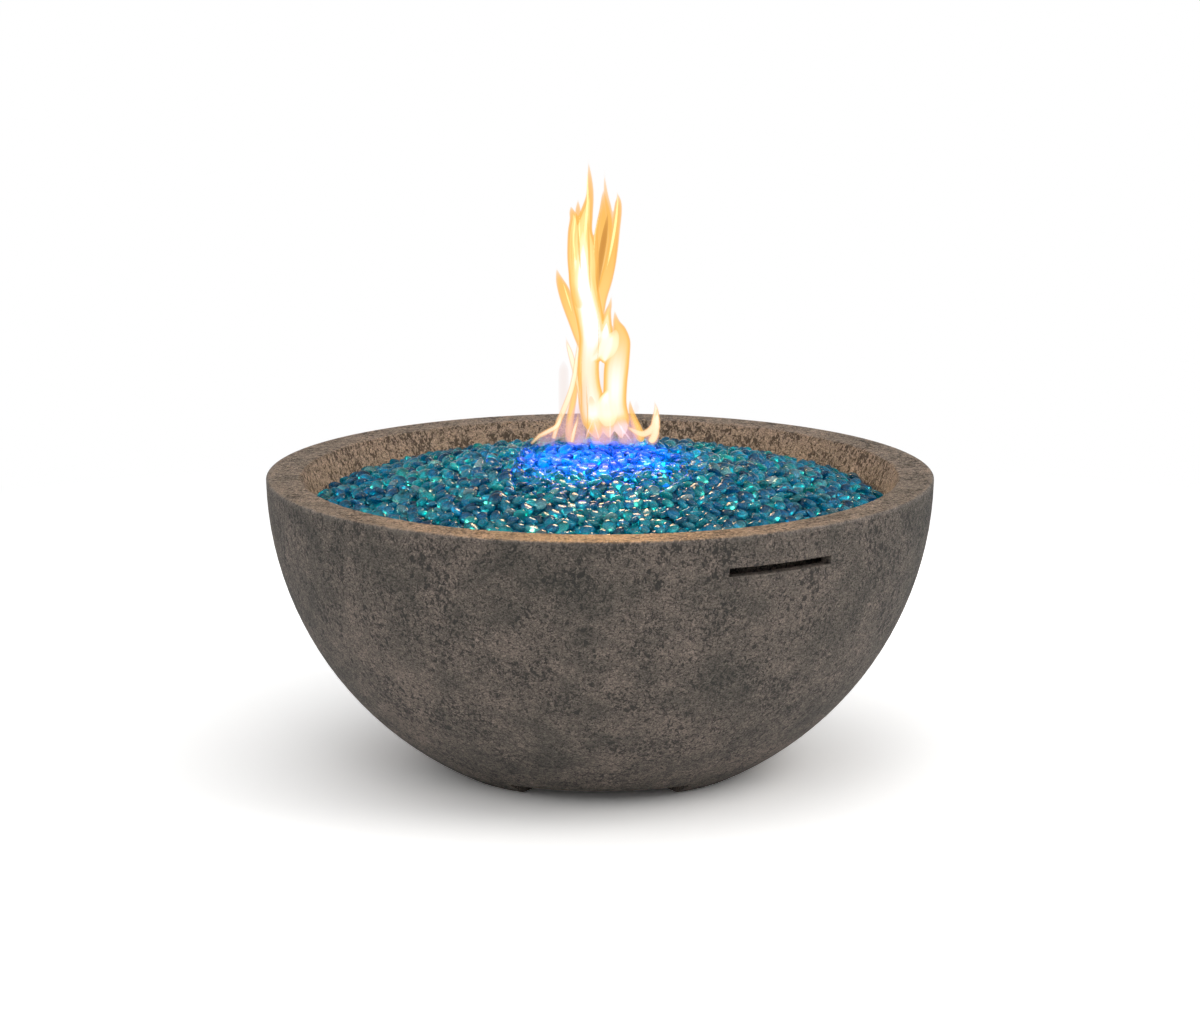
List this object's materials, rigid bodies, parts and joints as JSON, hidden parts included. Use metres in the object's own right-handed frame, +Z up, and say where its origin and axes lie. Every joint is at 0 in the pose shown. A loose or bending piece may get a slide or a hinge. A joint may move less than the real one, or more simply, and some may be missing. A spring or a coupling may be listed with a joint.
{
  "type": "gas fire pit bowl",
  "caption": "Round cast-stone gas fire bowl on three low feet, filled with crowned fire glass over a ring burner, with vent slots and a key valve.",
  "frame": {"origin": "on the bowl's axis, on the plane that its three feet stand on", "axes": "+Z up along the bowl's axis; front towards -Y, with one vent slot front right; the key valve is in the back wall, towards +Y"},
  "size_m": [0.9142, 0.9669, 0.4299],
  "materials": {
    "cast_stone": "matte",
    "pan_steel": "satin",
    "lava": "matte",
    "fire_glass": "gloss",
    "burner_steel": "satin",
    "pipe_steel": "satin",
    "brass": "satin",
    "shutter_steel": "satin",
    "hose_steel": "satin",
    "chrome": "polished",
    "seat_plastic": "matte",
    "strap_steel": "matte"
  },
  "bodies": {
    "bowl": {"bowl_shell": "cast_stone", "burner_pan": "pan_steel", "lava_gravel": "lava", "glass_bed": "fire_glass", "burner_outer_ring": "burner_steel", "burner_inner_ring": "burner_steel", "burner_spokes": "burner_steel", "burner_hub": "burner_steel", "riser_pipe": "pipe_steel", "pan_locknuts": "pipe_steel", "pan_washers": "pipe_steel", "mixer_body": "brass", "shutter_ring": "shutter_steel", "gas_jet": "brass", "burner_hose": "hose_steel", "supply_hose": "hose_steel", "valve_body": "brass", "valve_end_cap": "brass", "ball_seats": "seat_plastic", "stem_packing": "seat_plastic", "packing_nut": "brass", "valve_sleeve": "brass", "jam_washer": "pipe_steel", "jam_nut": "brass", "escutcheon": "chrome", "inlet_strap": "strap_steel", "strap_screws": "pipe_steel", "floor_inserts": "brass", "inlet_coupling": "pipe_steel", "coupling_nut": "pipe_steel", "inlet_elbow": "brass", "mixer_hose_nut": "brass", "valve_outlet_hose_nut": "brass", "valve_inlet_hose_nut": "brass", "elbow_hose_nut": "brass", "mixer_adapter": "brass", "valve_outlet_adapter": "brass", "valve_inlet_adapter": "brass"},
    "valve_spindle": {"valve_ball": "chrome", "valve_stem": "brass"},
    "key": {"valve_key": "chrome"},
    "shutter": {"air_shutter": "shutter_steel", "shutter_screw": "brass"}
  },
  "joints": [
    {"name": "valve_turn", "type": "hinge", "parent": "bowl", "child": "valve_spindle", "pos_m": [0, 0.3695, 0.2754], "axis": [0, 0.9397, -0.3421], "range_deg": [-90, 0]},
    {"name": "key_pull", "type": "slide", "parent": "valve_spindle", "child": "key", "axis": [0, 0.9397, -0.3421], "range_m": [0, 0.045]},
    {"name": "shutter_turn", "type": "hinge", "parent": "bowl", "child": "shutter", "pos_m": [0, 0, 0.2498], "axis": [0, 0, 1], "range_deg": [0, 45]}
  ]
}
